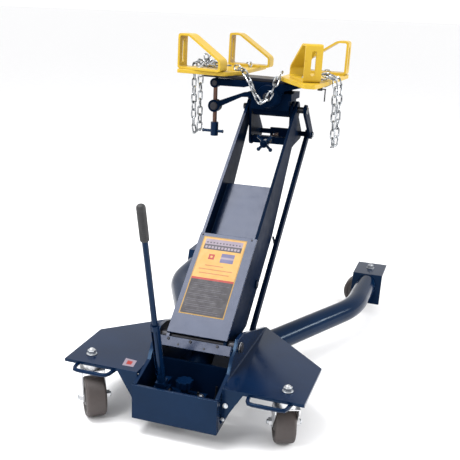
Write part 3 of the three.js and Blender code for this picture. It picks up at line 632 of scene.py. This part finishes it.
def add_label():
    """A bordered label: pale band, warm field with a plain emblem, red rule, dark block of lines."""

    def layer(name, look, x0, x1, s0, s1, level):
        low = COVER_TOP + 0.3 * min(level, 1) + 0.12 * max(level - 1, 0)
        add_panel("label_" + name, look, x0, x1, s0, s1, low, low + (0.3 if level == 0 else 0.12))

    layer("border", LABEL_GOLD, -66, 55, 55, 292, 0)
    layer("field", LABEL_YELLOW, -63, 52, 165, 289, 1)
    layer("block", LABEL_GREY, -63, 52, 58, 159, 1)
    layer("rule", LABEL_RED, -63, 52, 159, 165, 1)
    layer("band", LABEL_PALE, -58, 47, 268, 285, 2)
    layer("band_foot", LABEL_DARK, -58, 47, 252, 268, 2)
    for i in range(11):
        layer(f"band_mark_{i}", LABEL_PALE, -54 + 9 * i, -48 + 9 * i, 256, 263, 3)
        layer(f"band_dash_{i}", LABEL_DARK, -53 + 9 * i, -49 + 9 * i, 272, 276, 3)
    layer("emblem_field", LABEL_BLUE, -2, 34, 216, 244, 2)
    layer("emblem_stripe", LABEL_PALE, -2, 34, 227, 233, 3)
    layer("mark", LABEL_RED, -36, -20, 222, 238, 2)
    layer("mark_middle", LABEL_YELLOW, -31, -25, 227, 233, 3)
    layer("line_high", LABEL_ORANGE, -38, 12, 202, 204.5, 2)
    layer("line_mid", LABEL_ORANGE, -52, 40, 190, 192.5, 2)
    layer("line_low", LABEL_ORANGE, -48, 34, 178, 180.5, 2)
    for i in range(18):
        look = LABEL_DARK if i % 3 == 2 else LABEL_TEXT
        start, end = -57 + 5 * (i % 4 == 1), 44 - 9 * (i * 5 % 4)
        rise = 5.2 * i
        layer(f"text_{i}", look, start, end, 63 + rise, 64.3 + rise, 2)


add_label()

# ---- hydraulics ----

# The lift cylinder, inside the box, takes the darkened navy: painted shade.
refined("lift_cylinder", NAVY_PAINTED_SHADE, 0.8)
refined("lift_ram", CHROME, 0.6)
refined("pump_block", NAVY, 1.2)
refined("pump_plunger", CHROME, 0.5)
refined("release_knob", NAVY, 1.2)

# ---- handle ----

refined("handle_socket", NAVY, 0.8)
HANDLE_FRAME = frame_at(place(-52, *HANDLE_PIVOT), math.radians(14.3), "X")


def add_handle():
    rod = bmesh.new()
    profile = [(POINTED, 49), (6.2, 49), (7, 49.8), (7, 507.2), (6.2, 508), (POINTED, 508)]
    add_lathe(rod, profile, HANDLE_FRAME, 32)
    from_bmesh("handle_rod_finish", rod, NAVY, "handle", ["handle_rod"])
    grip = bmesh.new()
    profile = [(7.3, 424), (9.4, 424), (10.2, 425)]
    for i in range(14):
        low = 428 + 5 * i
        profile += [(10.5, low), (10.5, low + 3), (9.9, low + 3.6), (9.9, low + 4.4)]
    profile += [(10.5, 500), (10.3, 505), (9.2, 509), (7, 511.2), (3, 512), (POINTED, 512)]
    add_lathe(grip, profile, HANDLE_FRAME)
    from_bmesh("handle_grip_finish", grip, RUBBER_AND_HOLE_SHADE, "handle", ["handle_grip"])


add_handle()

# ---- head ----

# The head's ears, link lever, tilt head and rocker take the darkened navy: painted shade under the
# saddle.
for node in ("level_ear_left", "level_ear_right", "link_lever"):
    refined(node, NAVY_PAINTED_SHADE, 1.2)
refined("tilt_head", NAVY_PAINTED_SHADE, 2.5, segments=3)
refined("rocker", NAVY_PAINTED_SHADE, 2.5, segments=3)
refined("tilt_screw", NAVY, 0.8)
refined("tilt_nut", BROWN_STEEL, 0.8)
refined("screw_trunnion", DARK_STEEL, 0.8)
refined("knuckle_pin", DARK_STEEL, 0.6)
THREAD_FROM = HEAD_Z - 49
repaint(refined("lateral_screw", NAVY, 0.6), BROWN_STEEL, lambda at: at.z * 1000 > THREAD_FROM)

# ---- saddle ----

SKIRT_TOP = HEAD_Z + LATERAL_Z + 43.2
BOLT_REACH = 64
refined("saddle_bar", DARK_STEEL, 1.0)
refined("saddle_plate_left", YELLOW, 1.5)
right_plate = refined("saddle_plate_right", YELLOW, 1.5)
repaint(right_plate, DARK_STEEL, lambda at: at.z * 1000 < SKIRT_TOP)
for corner in ("front_left", "rear_left", "front_right", "rear_right"):
    refined(f"corner_bracket_{corner}", YELLOW, 0.8)

# ---- fasteners, threads and welds ----

SADDLE_FRAME = frame_at(place(0, HEAD_Y, HEAD_Z + LATERAL_Z), LATERAL_TILT, "Y")
BOX_SLOPE = Vector((0, 22, 31.5)).normalized()
BOX_NORMAL = Vector((0, -31.5, 22)).normalized()


def head_at(x, y, z):
    """A point by its offset from the head pin."""
    return place(x, HEAD_Y + y, HEAD_Z + z)


def add_head(shape, at, direction, radius, height, sides=6, washer=0.0):
    """A chamfered bolt head or button that stands on a surface, over a washer if it has one."""
    base = axis_matrix(at, direction)
    low = -0.4
    if washer:
        profile = [(washer - 0.4, low), (washer, 0.4), (washer, 1.5), (washer - 0.5, 2)]
        add_lathe(shape, profile, base, 28)
        low = 1.9
    edge = min(1.2, height * 0.3)
    profile = [(radius, low), (radius, height - edge), (radius - edge * 1.3, height)]
    add_lathe(shape, profile, base, sides, turn=0.3)


def add_heads(name, look, body, heads):
    """Heads joined in one piece. Each gives add_head's values after the shape."""
    shape = bmesh.new()
    for head in heads:
        add_head(shape, *head)
    from_bmesh(name, shape, look, body)


def add_snap_ring(shape, at, direction, radius):
    """A round spring clip in a shaft's groove."""
    base = axis_matrix(at, direction)
    opening = 0.5
    angles = [opening / 2 + (2 * math.pi - opening) * i / 28 for i in range(29)]
    add_sweep(shape, [at_angle(base, radius, angle) for angle in angles], 0.9, sides=8)


def add_thread(name, look, body, start, direction, radius, length, pitch=2.2):
    """A helical ridge on a plain rod, from start along direction."""
    base = axis_matrix(start, direction)
    per_turn = 14
    count = int(length / pitch * per_turn)
    points = []
    for i in range(count + 1):
        angle = 2 * math.pi * i / per_turn
        points.append(at_angle(base, radius, angle, length * i / count))
    shape = bmesh.new()
    add_sweep(shape, points, pitch * 0.3, sides=5)
    from_bmesh(name, shape, look, body, weighted=False)


def add_bead(name, points, radius, look=NAVY, body="chassis"):
    """A rippled weld bead along a line of points, in metres."""
    spacing = 0.0016
    line = []
    for a, b in zip(points, points[1:]):
        steps = max(1, round((b - a).length / spacing))
        line += [a.lerp(b, k / steps) for k in range(steps)]
    line.append(points[-1])
    shape = bmesh.new()
    rings = []
    last = len(line) - 1
    angles = [2 * math.pi * i / 8 for i in range(8)]
    for i, (point, (a, b)) in enumerate(zip(line, frames_along(line))):
        ripple = radius * (0.9 + 0.14 * math.sin(2.1 * i) + 0.06 * math.sin(0.37 * i))
        ripple *= min(1, 0.45 + 0.3 * min(i, last - i))
        ring = [a * (ripple * math.cos(t)) + b * (ripple * math.sin(t)) for t in angles]
        rings.append([point + offset / 1000 for offset in ring])
    add_ring_strip(shape, rings)
    from_bmesh(name, shape, look, body, weighted=False)


def bracket_ring(sign):
    """Round the leg tube where it meets the leaning leg bracket."""
    lean = 0.364
    ring = []
    for i in range(33):
        angle = 2 * math.pi * i / 32
        z = TUBE_Z + 32.6 * math.sin(angle)
        ring.append(place(sign * (302.8 + 32.6 * math.cos(angle)), 995 - lean * (137 - z), z))
    return ring


def tube_ring(sign):
    """Round the free part of the leg tube where it meets the box's side."""
    ring = []
    for i in range(41):
        angle = math.pi * (0.42 + 1.16 * i / 40)
        y, z = 387 + 71.6 * math.cos(angle), TUBE_Z + 31.8 * math.sin(angle)
        ring.append(place(sign * 109.4, y, z))
    return ring


def on_cross_plate(x, along):
    """A point on the cross plate's sloping front; along the slope in metres."""
    return place(0, 113.1, 190.1) + BOX_SLOPE * along + X * x / 1000


def add_chassis_details():
    for side, sign in SIDES:
        edge = sign * BOX_SIDE
        slope_foot = place(sign * 98.4, 113.5, 190.6)
        beads = (
            ("wing", [place(edge, y, 149.2) for y in (62, 404)], 2.4),
            ("corner", [place(sign * 107.6, 8.2, z) for z in (44, 129)], 1.7),
            ("gusset", [place(edge, 37.5, z) for z in (60, 138)], 2.2),
            ("under", [place(edge, y, 140.8) for y in (45, 345)], 2.2),
            ("cross", [slope_foot + BOX_SLOPE * along / 1000 for along in (0, 24)], 1.9),
            ("bracket", bracket_ring(sign), 2.6),
            ("tube", tube_ring(sign), 2.6),
        )
        for part, line, radius in beads:
            add_bead(f"weld_{part}_{side}", line, radius)
        for end, x in (("in", 175.5), ("out", 277.5)):
            line = [place(sign * x, y, 140.2) for y in (31, 47)]
            add_bead(f"weld_loop_{side}_{end}", line, 1.6)
    rings = bmesh.new()
    for x in (-110.6, 110.6):
        add_snap_ring(rings, place(x, *ARM_PIVOT), X, 12.6)
    from_bmesh("pivot_clips", rings, ZINC, "chassis", weighted=False)
    bolts = [(on_cross_plate(x, 0.019), BOX_NORMAL, 3.6, 2.6, 20) for x in (-66, -8, 62)]
    add_heads("cross_plate_bolts", DARK_STEEL, "chassis", bolts)
    # Flat black discs stand for two holes in the cross plate: painted shade inside the holes.
    holes = [(on_cross_plate(x, 0.008), BOX_NORMAL, 2.6, 0.3, 20) for x in (-38, 30)]
    add_heads("cross_plate_holes", RUBBER_AND_HOLE_SHADE, "chassis", holes)
    plugs = [(place(x, 74, 64), -Y, 6, 5, 6, 7.5) for x in (-18, 26)]
    plugs.append((place(34, 94, 79), Z, 6.5, 6, 6, 8))
    add_heads("pump_plugs", ZINC, "chassis", plugs)
    bolts = [(place(118, 30, 107), -Y, 5, 5, 6, 6.6), (place(112.5, 30, 70), -Y, 3.6, 5, 6, 4.8)]
    add_heads("gusset_bolts", ZINC, "chassis", bolts)
    add_heads("pump_bleed", DARK_STEEL, "chassis", [(place(24, 102, 79), Z, 3.2, 8, 6, 5)])
    pin_ends = [(place(x, *HANDLE_PIVOT), way, 8.4, 3, 28) for x, way in ((-34, X), (-70, -X))]
    add_heads("handle_pin_ends", DARK_STEEL, "chassis", pin_ends)
    line = bmesh.new()
    route = [(38, 98, 66), (62, 98, 66), (72, 98, 84), (72, 100, 112)]
    add_sweep(line, bent_path(route, 8), 3, sides=16)
    from_bmesh("pump_pipe", line, DARK_STEEL, "chassis")
    sticker = [(-157, 50), (-165, 88), (-133, 84), (-128, 51)]
    shape = bmesh.new()
    flat = Matrix.Translation(place(0, 0, 149))
    add_prism(shape, list(reversed(sticker)), flat, 0.05, 0.3)
    from_bmesh("wing_sticker", shape, LABEL_PALE, "chassis")
    middle = (-146, 68)
    inner = [(middle[0] + 0.45 * (x - middle[0]), middle[1] + 0.5 * (y - middle[1])) for x, y in sticker]
    shape = bmesh.new()
    add_prism(shape, list(reversed(inner)), flat, 0.28, 0.4)
    from_bmesh("wing_sticker_mark", shape, LABEL_RED, "chassis")


def add_caster_details(name, x, y, heading, top):
    base = caster_frame(x, y, heading)
    cap = bmesh.new()
    low = top - CASTER_PLATE
    profile = [
        (22.6, low - 8.5), (24.6, low - 7.6), (25.2, low - 5.4), (24.6, low - 3.2), (22.6, low - 2.2),
    ]
    add_lathe(cap, profile, base, looped=True)
    from_bmesh(f"race_cap_{name}", cap, FORK_ZINC, f"fork_{name}")
    seam = bmesh.new()
    profile = [(21.9, low - 2.4), (23.4, low - 2), (23.4, low - 1.2), (21.9, low - 0.8)]
    add_lathe(seam, profile, base, looped=True)
    from_bmesh(f"race_grease_{name}", seam, GREASE, f"fork_{name}")
    side = (base.to_3x3() @ X).normalized()
    axle = base @ (Vector((0, -TRAIL, WHEEL_R)) / 1000)
    fork_face, hub_face = 0.0375, 0.0203
    ends = [(axle + side * sign * fork_face, side * sign, 6.2, 4.5, 24) for sign in (-1, 1)]
    add_heads(f"axle_ends_{name}", ZINC, f"fork_{name}", ends)
    hub = bmesh.new()
    for sign in (-1, 1):
        disc = axis_matrix(axle + side * sign * hub_face, side * sign)
        add_lathe(hub, [(27, -0.4), (27.6, 0.7), (28.6, 0.9), (29.4, -0.4)], disc, looped=True)
    from_bmesh(f"hub_rings_{name}", hub, HUB, f"wheel_{name}", weighted=False)
    stem = [(place(x, y, top + 12), Z, 5.2, 4.5, 24)]
    add_heads(f"stem_end_{name}", ZINC, f"fork_{name}", stem)


def add_arm_details():
    for side, sign in SIDES:
        for level, n in (("top", -26.8), ("under", -33.2)):
            line = [arm_point(sign * 70.4, s, n) for s in (254, 510)]
            add_bead(f"weld_web_{level}_{side}", line, 1.8, body="lift_arm")
        line = [arm_point(sign * 78.6, s, 20.6) for s in (2, 300)]
        add_bead(f"weld_cover_{side}", line, 1.3, body="lift_arm")
    line = [arm_point(x, 303.2, 20.4) for x in (-69, 69)]
    add_bead("weld_cover_end", line, 1.2, body="lift_arm")
    # The lug collars take the darkened navy: painted shade.
    lug_ends = [(arm_point(79 * sign, *LUG), X * sign, 13, 4.6, 28) for sign in (-1, 1)]
    add_heads("lug_collars", NAVY_PAINTED_SHADE, "lift_arm", lug_ends)
    clips = bmesh.new()
    for x in (-89, 108):
        add_snap_ring(clips, head_at(x, 0, 0), X, 9.6)
    from_bmesh("head_clips", clips, ZINC, "lift_arm", weighted=False)
    eye = place(0, ARM_PIVOT[0] + 95, ARM_PIVOT[1] - 86)
    link = frame_at(eye, ARM_ANGLE, "X")
    tab = bmesh.new()
    add_prism(tab, [(80.4, 376), (84.9, 376), (84.9, 382), (80.4, 382)], link, -9, 24)
    round_edges(tab, 0.8)
    from_bmesh("link_tab", tab, NAVY, "parallel_link")
    add_heads("link_low_nut", ZINC, "chassis", [(eye + X * 0.0976, X, 10, 8, 6, 13)])
    rivets = []
    for x in (66, -72):
        at = arm_point(x, 297, COVER_TOP)
        rivets.append((at, arm_point(x, 297, COVER_TOP + 1) - at, 2.6, 1.6, 20))
    add_heads("cover_rivets", DARK_STEEL, "lift_arm", rivets)


def add_head_details():
    screw_z = -97
    add_thread("tilt_thread_front", DARK_STEEL, "tilt_screw_body", head_at(0, -60, screw_z), Y, 6, 41)
    add_thread("tilt_thread_rear", DARK_STEEL, "tilt_screw_body", head_at(0, 19, screw_z), Y, 6, 64)
    knuckle_x, knuckle_y = -172.43, -40
    foot = head_at(knuckle_x, knuckle_y, -48)
    add_thread("lateral_thread", BROWN_STEEL, "lateral_screw_body", foot, Z, 6.05, 100, 2.0)
    clips = bmesh.new()
    for x in (-72.4, 110):
        add_snap_ring(clips, head_at(x, 95, -86), X, 8.2)
    from_bmesh("link_shaft_clips", clips, ZINC, "level_head", weighted=False)
    ends = [(head_at(0, y, LATERAL_Z), way, 10.4, 2.4, 32) for y, way in ((-81, -Y), (82, Y))]
    add_heads("lateral_pin_ends", DARK_STEEL, "tilting_head", ends)
    caps = [(head_at(knuckle_x, y, 0), way, 9.4, 1.6, 32) for y, way in ((-55, -Y), (-25, Y))]
    add_heads("trunnion_caps", DARK_STEEL, "trunnion", caps)
    balls = [
        (head_at(knuckle_x + reach, knuckle_y, -78), way, 5.6, 3, 20)
        for reach, way in ((-36, -X), (26, X))
    ]
    add_heads("lateral_bar_ends", NAVY, "lateral_screw_body", balls)
    # The hub cap takes the darkened navy: painted shade.
    hub_cap = [(head_at(0, -86, screw_z), -Y, 7.4, 3.5, 6, 9.5)]
    add_heads("screw_hub_cap", NAVY_PAINTED_SHADE, "tilt_screw_body", hub_cap)
    for side, sign in SIDES:
        line = [head_at(sign * 59.8, y, screw_z + 11.2) for y in (-10, 10)]
        add_bead(f"weld_screw_bar_{side}", line, 1.6, body="level_head")
        line = [head_at(sign * 57.2, y, 30) for y in (-43, 58)]
        add_bead(f"weld_head_{side}", line, 2.0, body="tilting_head")


def add_saddle_details():
    def on_saddle(x, y, z):
        return SADDLE_FRAME @ (Vector((x, y, z)) / 1000)

    up = (SADDLE_FRAME.to_3x3() @ Z).normalized()
    feet = {
        "front_left": (-277, -66, -6), "rear_left": (-210, 206, 0),
        "front_right": (150, -166, 120), "rear_right": (188, 172, 180),
    }
    nuts = []
    for corner, (x, y, turn) in feet.items():
        turn = math.radians(turn)
        bolt = (x + BOLT_REACH * math.cos(turn), y + BOLT_REACH * math.sin(turn))
        head = [(on_saddle(*bolt, PLATE_TOP + 6.7), up, 8.5, 6, 6, 11.5)]
        add_heads(f"bracket_bolt_{corner}", ZINC, f"bracket_{corner}", head)
        nuts.append((on_saddle(*bolt, PLATE_TOP - 11.7), -up, 8, 7, 6, 11))
    add_heads("bracket_nuts", ZINC, "saddle", nuts)
    buttons = [(on_saddle(x, 0, PLATE_TOP), up, 7, 2.2, 28) for x in (-190, -135, 62, 122)]
    add_heads("bar_buttons", YELLOW, "saddle", buttons)
    for side, (x0, x1) in (("left", (-212, -106)), ("right", (37, 162))):
        for edge, y in (("front", -40.4), ("rear", 40.4)):
            line = [on_saddle(x, y, PLATE_TOP - 12.2) for x in (x0, x1)]
            add_bead(f"weld_bar_{side}_{edge}", line, 1.8, DARK_STEEL, "saddle")
    eye = bmesh.new()
    eye_at = (-127, 159)
    upright = Matrix.Rotation(math.pi / 2, 4, "X")
    base = frame_at(on_saddle(*eye_at, PLATE_TOP + 8), math.radians(70), "Z") @ upright
    ring = [at_angle(base, 7.5, 2 * math.pi * i / 32) for i in range(32)]
    add_sweep(eye, ring, 2.4, sides=12, closed=True)
    add_head(eye, on_saddle(*eye_at, PLATE_TOP), up, 5, 3, 20)
    from_bmesh("chain_eye", eye, ZINC, "saddle")
    pile = bmesh.new()
    spots = (
        (-236, 18, 5, 20, 4), (-222, 30, 9, 75, 24), (-205, 24, 5, 140, 6), (-214, 12, 14, 50, 34),
        (-196, 38, 8, 10, 20), (-228, 42, 6, 110, 10), (-240, 30, 15, 60, 40), (-210, 34, 20, 160, 18),
        (-226, 22, 24, 20, 52), (-188, 22, 6, 95, 14), (-233, 34, 27, 130, 66), (-218, 44, 16, 35, 28),
    )
    for x, y, z, turn, tip in spots:
        t, lift = math.radians(turn), math.radians(tip)
        along = Vector((math.cos(t) * math.cos(lift), math.sin(t) * math.cos(lift), math.sin(lift)))
        across = Vector((-math.sin(t), math.cos(t), 0))
        add_link(pile, on_saddle(x, y, PLATE_TOP + z), along, across)
    from_bmesh("chain_heap", pile, CHAIN_ZINC, "saddle", weighted=False)


add_chassis_details()
for caster, placing in CASTERS.items():
    add_caster_details(caster, *placing)
add_arm_details()
add_head_details()
add_saddle_details()

# ---- floor and light ----


def add_floor():
    mesh = bpy.data.meshes.new("floor")
    half = 80
    corners = [(-half, -half, 0), (half, -half, 0), (half, half, 0), (-half, half, 0)]
    mesh.from_pydata(corners, [], [(0, 1, 2, 3)])
    floor = bpy.data.objects.new("floor", mesh)
    bpy.context.scene.collection.objects.link(floor)
    look = material("floor", (246, 246, 247), (244, 244, 245), 0.7, grain=20, bump=0.01)
    mesh.materials.append(look)


def add_light(name, at, target, size, power):
    """A soft lamp. Places and sizes in metres, power in watts."""
    lamp = bpy.data.lights.new(name, "AREA")
    lamp.shape = "RECTANGLE"
    lamp.size, lamp.size_y = size
    lamp.energy = power
    holder = bpy.data.objects.new(name, lamp)
    holder.location = at
    holder.rotation_euler = (Vector(target) - Vector(at)).to_track_quat("-Z", "Y").to_euler()
    bpy.context.scene.collection.objects.link(holder)


def add_studio():
    world = bpy.data.worlds.new("studio")
    world.use_nodes = True
    background = world.node_tree.nodes["Background"]
    background.inputs["Color"].default_value = (1, 1, 1, 1)
    background.inputs["Strength"].default_value = 1.06
    bpy.context.scene.world = world
    add_light("overhead", (-0.95, -0.75, 3.1), (0, -0.1, 0.5), (1.5, 1.5), 112)
    add_light("front_box", (-0.85, -2.25, 1.95), (0, -0.4, 0.2), (0.8, 0.6), 22)
    add_light("right_box", (2.1, 0.4, 0.95), (0.15, -0.1, 0.1), (1.3, 0.3), 36)
    bpy.context.scene.view_settings.view_transform = "Standard"


add_floor()
add_studio()
